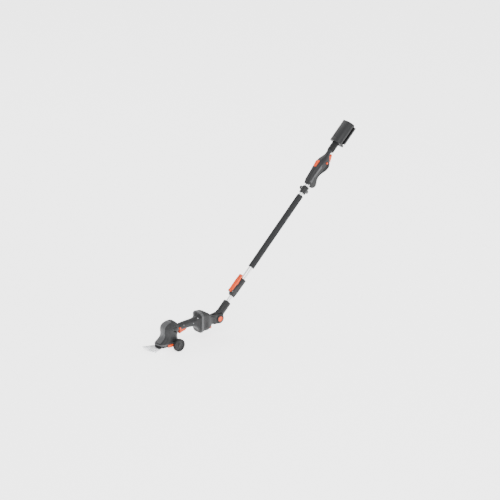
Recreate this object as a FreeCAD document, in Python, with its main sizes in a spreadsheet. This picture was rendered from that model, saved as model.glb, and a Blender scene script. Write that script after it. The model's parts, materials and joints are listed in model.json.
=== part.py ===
import FreeCAD, Part
import os
import re
import Sketcher
from FreeCAD import Placement, Rotation, Vector

# A cordless grass shear on a telescopic pole.  Millimetres.  +Z is up, the blades point along -X,
# the pole rises towards +X, and the user's left hand side is -Y.  The ground is Z = 0 and the
# origin lies under the middle of the whole tool.
# Pole pieces are drawn in the pole's own frame: Z runs up the pole from the tilt hinge, and
# X points to the underside of the pole.

SIZES = {
    # whole tool
    "pole_lean": 46.3, "hinge_x": 288, "hinge_z": 90, "pole_offset": 5, "hinge_radius": 25, "hinge_half": 22,
    "shell_wall": 2.5, "fit_gap": 0.3, "running_gap": 0.05,
    # wheels
    "wheel_radius": 32.5, "rim_radius": 25, "tyre_width": 14, "wheel_centre": 52, "hub_width": 12,
    "axle_radius": 3.4, "axle_cap_radius": 8, "axle_cap_depth": 2, "carrier_front": 6,
    "carrier_back": 22, "carrier_bottom": 22, "hub_boss_radius": 7,
    # shear head
    "head_base": 36, "nose_height": 52, "waist_height": 76, "brow_height": 108,
    "crown_height": 136, "head_top": 152, "nose_reach": 97, "waist_reach": 70, "dome_reach": 68,
    "dome_back": 28, "base_half": 35, "waist_half": 35, "dome_half": 38, "crown_half": 31,
    "cover_half": 19, "cover_back": 22,
    # blades and their drive
    "plate_bottom": 27, "plate_thickness": 1.5, "blade_thickness": 2, "blade_pivot": 62,
    "blade_reach": 103, "tooth_length": 34, "fan_half_angle": 34, "pivot_radius": 4,
    "blade_rear": 8, "crank_centre": 24, "crank_throw": 3, "crank_pin_radius": 3,
    "crank_shaft_radius": 3, "gear_module": 1, "pinion_teeth": 12, "crank_teeth": 36,
    "gear_face": 6, "gear_bottom": 47, "mesh_gap": 0.3, "gear_plate_bottom": 56,
    "gear_plate_thickness": 3, "motor_radius": 13, "motor_length": 54, "motor_shaft_radius": 1.5,
    "cassette_half": 33, "cassette_height": 8,
    # blade release buttons
    "release_length": 32, "release_height": 14, "release_proud": 42,
    # lower handle
    "handle_start": 24, "handle_half": 17, "handle_bottom": 88, "handle_top": 125,
    "handle_end": 159, "foot_half": 36, "foot_bottom": 48, "foot_top": 152, "foot_corner": 20,
    "trigger_width": 15, "trigger_pivot_x": 82, "trigger_pivot_z": 93.5, "trigger_pin_radius": 2,
    "lock_centre_x": 34, "lock_centre_z": 102, "lock_radius": 6, "lock_half": 21,
    # battery interface and pole adapter
    "rim_depth": 12, "rim_half": 37.5, "rim_bottom": 45.5, "rim_top": 154.5, "rim_border": 6,
    "terminal_half": 16, "terminal_bottom": 84, "terminal_top": 116,
    "adapter_start": 171.3, "adapter_end": 252, "fork_half_slot": 12, "latch_half": 14,
    "latch_bottom": 50,
    # tilt hinge
    "knuckle_radius": 24, "hinge_button_radius": 18, "hinge_button_proud": 25.5,
    "lock_ring_radius": 17.5, "lock_ring_depth": 6, "hinge_bolt_radius": 5,
    "spring_radius": 7, "spring_wire": 0.8, "spring_pitch": 2.6, "spring_turns": 4,
    # telescopic pole
    "socket_radius": 20, "socket_start": 27, "socket_end": 96, "tube_seat": 40,
    "inner_tube_radius": 9.5, "tube_wall": 1.4, "inner_tube_end": 500, "guide_length": 20,
    "clamp_start": 130, "clamp_end": 233, "clamp_step": 150, "clamp_lower": 15,
    "clamp_upper": 18.5, "lever_pivot": 148, "lever_pivot_out": 23.5, "lever_end": 246,
    "lever_half": 11, "lever_out": 31, "outer_tube_radius": 11.5, "outer_tube_end": 835,
    "foam_start": 306, "foam_end": 753, "foam_radius": 16, "collar_start": 766,
    "collar_end": 806, "collar_radius": 17, "eye_radius": 4.25, "eye_out": 26,
    "eye_rim_radius": 9, "eye_half": 4,
    # control handle and battery dock
    "control_start": 817, "control_mid": 856, "control_belly": 930, "control_corner": 962,
    "control_neck": 986, "control_end": 1078, "grip_out": 20, "grip_cover": 2.2,
    "grip_under": 13, "grip_half": 16, "belly_out": 34, "belly_under": 38, "belly_half": 24,
    "mid_out": 28, "mid_under": 30, "mouth_out": 17, "mouth_under": 27, "mouth_half": 19,
    "notch_radius": 14, "thumb_start": 912, "thumb_end": 950, "thumb_half": 9,
    "thumb_proud": 41, "side_lock_at": 962, "side_lock_under": 4, "side_lock_radius": 5,
    "side_lock_half": 27, "main_pivot": 1006, "main_pivot_under": 9, "dock_start": 1075,
    "dock_end": 1200, "dock_half": 38, "dock_crown": 29, "dock_under": 22,
    "dock_core_half": 24, "dock_rail": 12, "dock_corner": 6, "contact_half": 1.2,
}

# the middle of the tool from its foremost blade tip to the dock's last corner
MIDDLE = ("(hinge_x - pole_offset * cos(pole_lean) + dock_end * sin(pole_lean)"
          " + dock_under * cos(pole_lean) - blade_pivot - blade_reach) / 2")

doc = FreeCAD.newDocument("GrassShear")
sheet = doc.addObject("Spreadsheet::Sheet", "Sizes")
for row, (name, value) in enumerate(SIZES.items(), start=1):
    sheet.set("A%d" % row, str(value))
    sheet.setAlias("A%d" % row, name)
doc.recompute()
nodes = []


def cells(text):
    """An expression with every size written as its cell."""
    def cell(match):
        word = match.group(0)
        return "Sizes." + word if word in SIZES else word
    return re.sub(r"[A-Za-z_][A-Za-z_0-9]*", cell, str(text))


def bind(item, prop, text):
    item.setExpression(prop, cells(text))


def value(text):
    """The present number of an expression."""
    result = sheet.evalExpression(cells(text))
    return float(getattr(result, "Value", result))


def put(item, x="0", y="0", z="0"):
    """Stand a piece at a point of the whole tool, unturned."""
    bind(item, "Placement.Base.x", "%s - %s" % (x, MIDDLE))
    bind(item, "Placement.Base.y", y)
    bind(item, "Placement.Base.z", z)
    return item


def put_across(item, x, y, z, outwards=1):
    """Lay a turned piece's axis along Y, pointing to +Y or to -Y."""
    item.Placement = Placement(Vector(), Rotation(Vector(1, 0, 0), -90 * outwards))
    return put(item, x, y, z)


def put_on_pole(item):
    """Set a piece that is drawn in the pole's frame in its place."""
    item.Placement = Placement(Vector(), Rotation(Vector(0, 1, 0), 1))
    bind(item, "Placement.Rotation.Angle", "pole_lean")
    return put(item, "hinge_x - pole_offset * cos(pole_lean)", "0",
               "hinge_z + pole_offset * sin(pole_lean)")


def part(name, item):
    """Name a finished piece, which is written to a file of its own."""
    item.Label = name
    nodes.append(item)
    return item


def new_body(name):
    return doc.addObject("PartDesign::Body", name)


def sketch_on(body, role, offset="0"):
    plane = [f for f in body.Origin.OriginFeatures if f.Role == role][0]
    sketch = body.newObject("Sketcher::SketchObject", body.Name + "_sketch")
    sketch.AttachmentSupport = [(plane, "")]
    sketch.MapMode = "FlatFace"
    bind(sketch, "AttachmentOffset.Base.z", offset)
    return sketch


def fix(sketch, kind, text, *where):
    """Add a dimension and bind it to its expression."""
    index = sketch.addConstraint(Sketcher.Constraint(kind, *where, value(text)))
    bind(sketch, "Constraints[%d]" % index, text)


def draw_outline(sketch, points):
    """A closed outline of straight lines through the points."""
    numbers = [Vector(value(x), value(y), 0) for x, y in points]
    first = sketch.GeometryCount
    count = len(points)
    for i in range(count):
        sketch.addGeometry(Part.LineSegment(numbers[i], numbers[(i + 1) % count]), False)
    for i in range(count):
        sketch.addConstraint(Sketcher.Constraint(
            "Coincident", first + i, 2, first + (i + 1) % count, 1))
    for i, (x, y) in enumerate(points):
        fix(sketch, "DistanceX", x, -1, 1, first + i, 1)
        fix(sketch, "DistanceY", y, -1, 1, first + i, 1)


def draw_circle(sketch, x, y, radius):
    centre = Vector(value(x), value(y), 0)
    index = sketch.addGeometry(Part.Circle(centre, Vector(0, 0, 1), value(radius)), False)
    fix(sketch, "DistanceX", x, -1, 1, index, 3)
    fix(sketch, "DistanceY", y, -1, 1, index, 3)
    fix(sketch, "Radius", radius, index)


def draw_rounded(sketch, x0, x1, y0, y1, corner):
    """A rectangle with four equal round corners."""
    a, b, c, d, r = (value(t) for t in (x0, x1, y0, y1, corner))
    first = sketch.GeometryCount
    lines = [((a + r, c), (b - r, c)), ((b, c + r), (b, d - r)),
             ((b - r, d), (a + r, d)), ((a, d - r), (a, c + r))]
    centres = [(b - r, c + r), (b - r, d - r), (a + r, d - r), (a + r, c + r)]
    quarter = 1.5707963267948966
    for i in range(4):
        start, end = lines[i]
        sketch.addGeometry(Part.LineSegment(Vector(*start, 0), Vector(*end, 0)), False)
        circle = Part.Circle(Vector(*centres[i], 0), Vector(0, 0, 1), r)
        arc = Part.ArcOfCircle(circle, (i - 1) * quarter, i * quarter)
        sketch.addGeometry(arc, False)
    for i in range(4):
        line = first + 2 * i
        arc = line + 1
        following = first + (2 * i + 2) % 8
        sketch.addConstraint(Sketcher.Constraint("Tangent", line, 2, arc, 1))
        sketch.addConstraint(Sketcher.Constraint("Tangent", arc, 2, following, 1))
        sketch.addConstraint(Sketcher.Constraint("Horizontal" if i % 2 == 0 else "Vertical", line))
    for i in range(1, 4):
        sketch.addConstraint(Sketcher.Constraint("Equal", first + 1, first + 2 * i + 1))
    fix(sketch, "DistanceY", y0, -1, 1, first, 1)
    fix(sketch, "DistanceX", x1, -1, 1, first + 2, 1)
    fix(sketch, "DistanceY", y1, -1, 1, first + 4, 1)
    fix(sketch, "DistanceX", x0, -1, 1, first + 6, 1)
    fix(sketch, "Radius", corner, first + 1)


def refresh(item):
    """Work out a piece and all that it stands on."""
    item.recompute(True)


def pad(body, sketch, length, both_ways=False):
    feature = body.newObject("PartDesign::Pad", body.Name + "_pad")
    feature.Profile = sketch
    feature.Midplane = both_ways
    bind(feature, "Length", length)
    refresh(body)
    return feature


def pocket(body, sketch, length, backwards=False, both_ways=False):
    before = body.Shape.Volume
    feature = body.newObject("PartDesign::Pocket", body.Name + "_pocket")
    feature.Profile = sketch
    feature.Midplane = both_ways
    feature.Reversed = backwards
    bind(feature, "Length", length)
    refresh(body)
    if body.Shape.Volume > before - 1e-3:
        raise ValueError("a pocket of %s cuts nothing" % body.Name)
    return feature


def turned(name, points):
    """A piece turned about its own Z axis; the points are (radius, height)."""
    body = new_body(name)
    sketch = sketch_on(body, "XZ_Plane")
    draw_outline(sketch, points)
    feature = body.newObject("PartDesign::Revolution", name + "_turn")
    feature.Profile = sketch
    feature.ReferenceAxis = (sketch, ["V_Axis"])
    feature.Angle = 360
    refresh(body)
    return body


def ring(name, outer, inner, bottom, top):
    return turned(name, [(inner, bottom), (outer, bottom), (outer, top), (inner, top)])


def disc(name, radius, bottom, top):
    return ring(name, radius, "0", bottom, top)


def cross_pad(name, points, width, centre="0"):
    """A flat outline in X and Z, as thick as its width along Y, about a centre."""
    body = new_body(name)
    sketch = sketch_on(body, "XZ_Plane", "-(%s)" % centre)
    draw_outline(sketch, points)
    pad(body, sketch, width, both_ways=True)
    return body


def flat_pad(name, x0, x1, half, bottom, height, corner):
    """A rounded plate lying flat, symmetric about Y = 0."""
    body = new_body(name)
    sketch = sketch_on(body, "XY_Plane", bottom)
    draw_rounded(sketch, x0, x1, "-(%s)" % half, half, corner)
    pad(body, sketch, height)
    return body


def loft(name, role, sections):
    """A skin over rounded sections: (station, x0, x1, y0, y1, corner)."""
    body = new_body(name)
    sketches = []
    for station, x0, x1, y0, y1, corner in sections:
        sketch = sketch_on(body, role, station)
        draw_rounded(sketch, x0, x1, y0, y1, corner)
        sketches.append(sketch)
    feature = body.newObject("PartDesign::AdditiveLoft", name + "_loft")
    feature.Profile = sketches[0]
    feature.Sections = sketches[1:]
    refresh(body)
    return body


def inset(sections, first, last):
    """The same sections one wall further in, from a first to a last station."""
    walls = []
    for station, x0, x1, y0, y1, corner in sections:
        walls.append([station, x0 + " + shell_wall", x1 + " - shell_wall",
                      y0 + " + shell_wall", y1 + " - shell_wall", corner + " - shell_wall"])
    walls[0][0] = first
    walls[-1][0] = last
    return walls


def box(name, x0, x1, y0, y1, z0, z1, on_pole=False):
    """A plain block; on the pole it is drawn in the pole's frame."""
    body = new_body(name)
    sketch = sketch_on(body, "XY_Plane", z0)
    draw_outline(sketch, [(x0, y0), (x1, y0), (x1, y1), (x0, y1)])
    pad(body, sketch, "%s - (%s)" % (z1, z0))
    return put_on_pole(body) if on_pole else put(body)


def cut(base, *tools):
    """The base piece with the tools' shapes taken out of it."""
    tool = tools[0]
    if len(tools) > 1:
        tool = doc.addObject("Part::MultiFuse", base.Name + "_tools")
        tool.Shapes = list(tools)
    result = doc.addObject("Part::Cut", base.Name + "_cut")
    result.Base = base
    result.Tool = tool
    refresh(result)
    return result


def common(first, second):
    result = doc.addObject("Part::Common", first.Name + "_common")
    result.Base = first
    result.Tool = second
    refresh(result)
    return result


def cut_round(body, role, x, y, radius, offset, length, backwards=False, both_ways=False):
    """A round hole in a body, drawn on one of its own planes."""
    sketch = sketch_on(body, role, offset)
    draw_circle(sketch, x, y, radius)
    return pocket(body, sketch, length, backwards, both_ways)


def halves(name, shell, cuts=((), ())):
    """The left and right shell of a housing, with each side's own cuts."""
    sides = (("left", "-400", "0"), ("right", "0", "400"))
    for (side, y0, y1), tools in zip(sides, cuts):
        room = box(name + "_" + side + "_room", "-400", "1600", y0, y1, "-100", "1300")
        half = common(shell, room)
        if tools:
            half = cut(half, *tools)
        part("%s_%s" % (name, side), half)


# ------------------------------------------------------------------ wheels
def make_wheels():
    carrier = flat_pad("carrier", "-carrier_front", "carrier_back", "wheel_centre - 22",
                       "carrier_bottom", "head_base - carrier_bottom", "4")
    sketch = sketch_on(carrier, "XZ_Plane")
    draw_circle(sketch, "0", "wheel_radius", "hub_boss_radius")
    pad(carrier, sketch, "2 * (wheel_centre - hub_width / 2 - 1)", both_ways=True)
    cut_round(carrier, "XZ_Plane", "0", "wheel_radius", "axle_radius", "0", "200", both_ways=True)
    # the carrier's bosses stay under the head
    top = box("carrier_top", "-60", "60", "-60", "60", "head_base", "head_base + 20")
    part("wheel_carrier", cut(put(carrier), top))
    axle_half = "wheel_centre + hub_width / 2 + fit_gap"
    axle = disc("axle", "axle_radius", "-(%s)" % axle_half, axle_half)
    part("wheel_axle", put_across(axle, "0", "0", "wheel_radius"))
    caps = new_body("caps")
    sketch = sketch_on(caps, "XZ_Plane", "-(%s + axle_cap_depth / 2)" % axle_half)
    draw_circle(sketch, "0", "0", "axle_cap_radius")
    pad(caps, sketch, "axle_cap_depth", both_ways=True)
    put(caps, "0", "0", "wheel_radius")
    other = doc.addObject("Part::Mirroring", "caps_mirror")
    other.Source = caps
    other.Normal = Vector(0, 1, 0)
    pair = doc.addObject("Part::Compound", "cap_pair")
    pair.Links = [caps, other]
    part("axle_caps", pair)
    for side, way in (("left", -1), ("right", 1)):
        tyre = turned("tyre_" + side, [
            ("rim_radius", "-tyre_width / 2"), ("wheel_radius - 3", "-tyre_width / 2"),
            ("wheel_radius", "-tyre_width / 2 + 3"), ("wheel_radius", "tyre_width / 2 - 3"),
            ("wheel_radius - 3", "tyre_width / 2"), ("rim_radius", "tyre_width / 2")])
        hub = turned("hub_" + side, [
            ("axle_radius + running_gap", "-hub_width / 2"), ("rim_radius", "-hub_width / 2"),
            ("rim_radius", "hub_width / 2"), ("rim_radius - 3", "hub_width / 2"),
            ("rim_radius - 5", "hub_width / 2 - 2.5"), ("11", "hub_width / 2 - 2.5"),
            ("9.5", "hub_width / 2"), ("axle_radius + running_gap", "hub_width / 2")])
        centre = "%d * wheel_centre" % way
        part("tyre_" + side, put_across(tyre, "0", centre, "wheel_radius", way))
        part("wheel_" + side, put_across(hub, "0", centre, "wheel_radius", way))


# ------------------------------------------------------------------ blades
BLADE_BOTTOM = "plate_bottom + plate_thickness"
UPPER_BOTTOM = "plate_bottom + plate_thickness + blade_thickness + fit_gap"
CASSETTE_BOTTOM = "plate_bottom + plate_thickness + 2 * blade_thickness + 2 * fit_gap + 0.1"


def fan(count, shift):
    """A fan of teeth about the blade pivot, each with a narrow tip and a wider root."""
    points = []
    pitch = "(2 * fan_half_angle / %d)" % count
    for i in range(count):
        middle = "(%s * (%s) + %s)" % (pitch, i - (count - 1) / 2, shift)
        for radius, angle in (("blade_reach - tooth_length", "-0.4"), ("blade_reach", "-0.1"),
                              ("blade_reach", "0.1"), ("blade_reach - tooth_length", "0.4")):
            turn = "(%s + %s * %s)" % (middle, angle, pitch)
            points.append(("-blade_pivot - (%s) * cos(%s)" % (radius, turn),
                           "(%s) * sin(%s)" % (radius, turn)))
    return points


def make_blade(name, count, bottom, rear_half):
    body = new_body(name)
    sketch = sketch_on(body, "XY_Plane", bottom)
    rear = [("-blade_pivot - 12", "24"), ("-blade_pivot + 14", rear_half),
            ("-blade_rear", rear_half), ("-blade_rear", "-(%s)" % rear_half),
            ("-blade_pivot + 14", "-(%s)" % rear_half), ("-blade_pivot - 12", "-24")]
    draw_outline(sketch, fan(count, "0") + rear)
    pad(body, sketch, "blade_thickness")
    return body


def make_blades():
    plate = flat_pad("plate", "-nose_reach + 6", "-blade_rear", "cassette_half - 3",
                     "plate_bottom", "plate_thickness", "14")
    cut_round(plate, "XY_Plane", "-blade_pivot", "0", "pivot_radius", "plate_bottom - 5", "20",
              backwards=True)
    part("cassette_plate", put(plate))
    lower = make_blade("lower_blade_body", 8, BLADE_BOTTOM, "16")
    cut_round(lower, "XY_Plane", "-blade_pivot", "0", "pivot_radius", "plate_bottom - 5", "30",
              backwards=True)
    # room for the crank pin's end under the moving blade
    cut_round(lower, "XY_Plane", "-crank_centre", "0", "crank_throw + crank_pin_radius + 2",
              "plate_bottom - 5", "30", backwards=True)
    part("lower_blade", put(lower))
    upper = make_blade("upper_blade_body", 7, UPPER_BOTTOM, "14")
    cut_round(upper, "XY_Plane", "-blade_pivot", "0", "pivot_radius + running_gap",
              "plate_bottom - 5", "30", backwards=True)
    # the yoke's slot clears the crank pin over the whole turn
    yoke = "crank_throw + crank_pin_radius + 4"
    cut_round(upper, "XY_Plane", "-crank_centre", "0", yoke, "plate_bottom - 5", "30",
              backwards=True)
    part("upper_blade", put(upper))
    bolt = turned("bolt", [
        ("0", "plate_bottom"), ("pivot_radius", "plate_bottom"),
        ("pivot_radius", CASSETTE_BOTTOM + " + 4"), ("pivot_radius + 3", CASSETTE_BOTTOM + " + 4"),
        ("pivot_radius + 3", CASSETTE_BOTTOM + " + 7"), ("0", CASSETTE_BOTTOM + " + 7")])
    part("blade_pivot_bolt", put(bolt, "-blade_pivot"))
    cassette = flat_pad("cassette", "-nose_reach + 3", "-blade_rear", "cassette_half",
                        CASSETTE_BOTTOM, "head_base - fit_gap - (%s)" % CASSETTE_BOTTOM, "14")
    raised = sketch_on(cassette, "XY_Plane", CASSETTE_BOTTOM)
    draw_rounded(raised, "-nose_reach + 14", "-blade_rear", "-25", "25", "10")
    pad(cassette, raised, "cassette_height")
    window = sketch_on(cassette, "XY_Plane", CASSETTE_BOTTOM + " - 1")
    draw_rounded(window, "-crank_centre - 11", "-crank_centre + 11", "-11", "11", "4")
    pocket(cassette, window, "cassette_height + 3", backwards=True)
    cut_round(cassette, "XY_Plane", "-blade_pivot", "0", "pivot_radius", "plate_bottom - 5",
              "40", backwards=True)
    cut_round(cassette, "XY_Plane", "-blade_pivot", "0", "pivot_radius + 3",
              CASSETTE_BOTTOM + " + 4", "20", backwards=True)
    part("cassette_base", put(cassette))


def make_gear(name, teeth, phase):
    """A straight gear: a disc and one tooth repeated about it, with backlash in the teeth."""
    body = new_body(name)
    disc_sketch = sketch_on(body, "XY_Plane", "gear_bottom")
    root = "gear_module * %s / 2 - 1.25 * gear_module" % teeth
    tip = "gear_module * %s / 2 + 0.9 * gear_module" % teeth
    draw_circle(disc_sketch, "0", "0", root)
    pad(body, disc_sketch, "gear_face")
    tooth = sketch_on(body, "XY_Plane", "gear_bottom")
    low = "%s - 0.6 * gear_module" % root
    draw_outline(tooth, [(low, "-0.85 * gear_module"), (tip, "-0.3 * gear_module"),
                         (tip, "0.3 * gear_module"), (low, "0.85 * gear_module")])
    bind(tooth, "AttachmentOffset.Rotation.Angle", phase)
    first = pad(body, tooth, "gear_face")
    pattern = body.newObject("PartDesign::PolarPattern", name + "_teeth")
    pattern.Originals = [first]
    pattern.Axis = ([f for f in body.Origin.OriginFeatures if f.Role == "Z_Axis"][0], [""])
    pattern.Angle = 360
    bind(pattern, "Occurrences", teeth)
    body.Tip = pattern
    refresh(body)
    return body


PINION_AT = "-crank_centre + gear_module * (pinion_teeth + crank_teeth) / 2 + mesh_gap"


def make_drive():
    shaft_top = "gear_plate_bottom + gear_plate_thickness + 3"
    crank = make_gear("crank", "crank_teeth", "180 / crank_teeth")
    shaft = sketch_on(crank, "XY_Plane", "gear_bottom")
    draw_circle(shaft, "0", "0", "crank_shaft_radius")
    pad(crank, shaft, "%s - gear_bottom" % shaft_top)
    pin = sketch_on(crank, "XY_Plane", BLADE_BOTTOM)
    draw_circle(pin, "-crank_throw", "0", "crank_pin_radius")
    pad(crank, pin, "gear_bottom + 1 - (%s)" % BLADE_BOTTOM)
    part("crank_gear", put(crank, "-crank_centre"))
    pinion = make_gear("pinion", "pinion_teeth", "0")
    spindle = sketch_on(pinion, "XY_Plane", "gear_bottom")
    draw_circle(spindle, "0", "0", "motor_shaft_radius")
    pad(pinion, spindle, "gear_plate_bottom + gear_plate_thickness + 8 - gear_bottom")
    part("motor_pinion", put(pinion, PINION_AT))
    plate = flat_pad("gearplate", "-crank_centre - 22", "%s + 12" % PINION_AT, "22",
                     "gear_plate_bottom", "gear_plate_thickness", "6")
    cut_round(plate, "XY_Plane", "-crank_centre", "0", "crank_shaft_radius + running_gap",
              "gear_plate_bottom - 5", "30", backwards=True)
    cut_round(plate, "XY_Plane", PINION_AT, "0", "motor_shaft_radius + 2",
              "gear_plate_bottom - 5", "30", backwards=True)
    part("gear_plate", put(plate))
    low = "gear_plate_bottom + gear_plate_thickness"
    motor = turned("motor", [
        ("motor_shaft_radius + running_gap", low), ("motor_radius", low),
        ("motor_radius", low + " + motor_length - 4"), ("8", low + " + motor_length - 4"),
        ("8", low + " + motor_length"), ("0", low + " + motor_length"),
        ("0", low + " + 9"), ("motor_shaft_radius + running_gap", low + " + 9")])
    part("drive_motor", put(motor, PINION_AT))


# ------------------------------------------------------------------ shear head
def make_head():
    half = "dome_half"
    sections = [
        ("head_base", "-nose_reach", "dome_back - 6", "-base_half", "base_half", "28"),
        ("nose_height", "-nose_reach + 3", "dome_back - 5", "-base_half - 1", "base_half + 1", "29"),
        ("waist_height", "-waist_reach", "dome_back - 9", "-waist_half", "waist_half", "31"),
        ("brow_height", "-dome_reach", "dome_back", "-" + half, half, "35"),
        ("crown_height", "-dome_reach + 9", "dome_back - 9", "-crown_half", "crown_half", "28"),
        ("head_top", "-dome_reach + 30", "dome_back - 30", "-13", "13", "11")]
    outer = put(loft("head_outer", "XY_Plane", sections))
    inner = put(loft("head_inner", "XY_Plane",
                     inset(sections, "head_base - 1", "head_top - shell_wall")))
    shell = cut(outer, inner)
    cover_room = box("cover_room", "-400", "-cover_back", "-cover_half", "cover_half",
                     "nose_height", "400")
    part("nose_cover", common(shell, cover_room))
    # the buttons' stems pass through both side walls
    stem_room = box("stem_room", "-blade_pivot + 10", "-blade_pivot + 27", "-60", "60",
                    "head_base", "head_base + 7")
    front = cut(shell, cover_room, stem_room)
    halves("head_shell", front)
    for side, way in (("left", "-1"), ("right", "1")):
        button = new_body("release_" + side)
        face = sketch_on(button, "XZ_Plane",
                         "-(%s) * (release_proud - 1.25)" % way)
        draw_rounded(face, "-blade_pivot + 2", "-blade_pivot + 2 + release_length",
                     "head_base - 7", "head_base - 7 + release_height", "3")
        pad(button, face, "2.5", both_ways=True)
        stem = sketch_on(button, "XZ_Plane", "-(%s) * (release_proud - 7)" % way)
        draw_rounded(stem, "-blade_pivot + 11", "-blade_pivot + 26",
                     "head_base + 0.8", "head_base + 6.2", "1.5")
        pad(button, stem, "9.5", both_ways=True)
        part("release_button_" + side, put(button))
    return outer


# ------------------------------------------------------------------ lower handle
def make_handle(head):
    sections = [
        ("handle_start", "-handle_half + 1", "handle_half - 1", "handle_bottom + 1",
         "handle_top - 3", "14"),
        ("handle_start + 36", "-handle_half", "handle_half", "handle_bottom", "handle_top", "15"),
        ("handle_start + 86", "-handle_half - 1", "handle_half + 1", "handle_bottom - 1",
         "handle_top + 2", "16"),
        ("handle_end - 20", "-handle_half - 4", "handle_half + 4", "handle_bottom - 9",
         "handle_top + 6", "17"),
        ("handle_end", "-foot_half", "foot_half", "foot_bottom", "foot_top", "foot_corner")]
    outer = put(loft("handle_outer", "YZ_Plane", sections))
    inner = put(loft("handle_inner", "YZ_Plane",
                     inset(sections, "handle_start - 1", "handle_end + 1")))
    slot = box("trigger_slot", "handle_start + 12", "trigger_pivot_x + 8",
               "-trigger_width / 2 - 0.6", "trigger_width / 2 + 0.6", "40", "trigger_pivot_z")
    lock_hole = put_across(disc("lock_hole", "lock_radius + fit_gap", "-60", "60"),
                           "lock_centre_x", "0", "lock_centre_z")
    # the screws' heads sit in the left shell
    sites = [("handle_start + 36", "handle_top - 12"), ("handle_start + 96", "handle_top - 18"),
             ("handle_end - 12", "foot_bottom + 24"), ("handle_end - 12", "foot_top - 24")]
    shafts = []
    for number, (x, z) in enumerate(sites):
        depth = ("-60", "-foot_half / 2 + 8")
        shaft = disc("screw_%d" % number, "2.2", depth[0], depth[1])
        shafts.append(put_across(shaft, x, "0", z))
    screws = doc.addObject("Part::Compound", "screw_group")
    screws.Links = shafts
    shell = cut(outer, inner, slot, lock_hole, head)
    halves("handle_shell", shell, ((screws,), ()))
    part("handle_screws", common(screws, common(cut(outer, inner, head), box(
        "screw_side", "0", "400", "-400", "0", "0", "400"))))
    trigger = cross_pad("trigger", [
        ("handle_start + 16", "handle_bottom + 5"), ("handle_start + 17", "handle_bottom - 18"),
        ("handle_start + 34", "handle_bottom - 12"), ("handle_start + 50", "handle_bottom - 9"),
        ("trigger_pivot_x + 4", "handle_bottom"), ("trigger_pivot_x + 4", "trigger_pivot_z + 3"),
        ("handle_start + 20", "trigger_pivot_z + 1")], "trigger_width")
    pegs = sketch_on(trigger, "XZ_Plane")
    draw_circle(pegs, "trigger_pivot_x", "trigger_pivot_z", "trigger_pin_radius")
    pad(trigger, pegs, "2 * (handle_half - 9)", both_ways=True)
    part("lower_trigger", put(trigger))
    switch = box("switch", "handle_start + 38", "handle_start + 58", "-6", "6",
                 "trigger_pivot_z + 8", "trigger_pivot_z + 22")
    part("trigger_switch", switch)
    lock = disc("lock", "lock_radius", "-lock_half", "lock_half")
    part("lower_lock_button", put_across(lock, "lock_centre_x", "0", "lock_centre_z"))


# ------------------------------------------------------------------ battery interface, adapter
def make_interface():
    rim = new_body("rim")
    face = sketch_on(rim, "YZ_Plane", "handle_end")
    draw_rounded(face, "-rim_half", "rim_half", "rim_bottom", "rim_top", "foot_corner + 1.5")
    pad(rim, face, "rim_depth")
    recess = sketch_on(rim, "YZ_Plane", "handle_end + rim_depth")
    draw_rounded(recess, "-rim_half + rim_border", "rim_half - rim_border",
                 "rim_bottom + rim_border", "rim_top - rim_border", "foot_corner - rim_border")
    pocket(rim, recess, "rim_depth - 3")
    part("foot_rim", put(rim))
    part("head_terminals", box("head_terminal", "handle_end + 3", "handle_end + rim_depth - 1",
                               "-terminal_half", "terminal_half", "terminal_bottom",
                               "terminal_top"))
    sections = [
        ("adapter_start", "-rim_half + 1", "rim_half - 1", "rim_bottom + 1.5", "rim_top - 1.5",
         "foot_corner"),
        ("adapter_start + 28", "-rim_half + 2", "rim_half - 2", "rim_bottom + 4.5",
         "rim_top - 6.5", "foot_corner"),
        ("adapter_start + 50", "-rim_half + 7", "rim_half - 7", "rim_bottom + 10",
         "rim_top - 20", "18"),
        ("adapter_end - 14", "-hinge_half", "hinge_half", "hinge_z - 24", "hinge_z + 32", "14"),
        ("adapter_end", "-hinge_half", "hinge_half", "hinge_z - 22", "hinge_z + 22", "9")]
    outer = put(loft("adapter_outer", "YZ_Plane", sections))
    inner = put(loft("adapter_inner", "YZ_Plane",
                     inset(sections, "adapter_start + 3", "adapter_end - 3")))
    latch_room = box("latch_room", "adapter_start + 42", "adapter_start + 70",
                     "-latch_half - 0.4", "latch_half + 0.4", "0", "latch_bottom + 19")
    halves("adapter_shell", cut(outer, inner, latch_room))
    part("adapter_terminals", box(
        "adapter_terminal", "adapter_start + 3", "adapter_start + 18", "-terminal_half + 2",
        "terminal_half - 2", "terminal_bottom + 2", "terminal_top - 2"))
    latch = new_body("latch")
    face = sketch_on(latch, "XZ_Plane")
    draw_rounded(face, "adapter_start + 43", "adapter_start + 69", "latch_bottom",
                 "latch_bottom + 15", "5")
    pad(latch, face, "2 * latch_half", both_ways=True)
    part("adapter_latch", put(latch))


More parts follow.
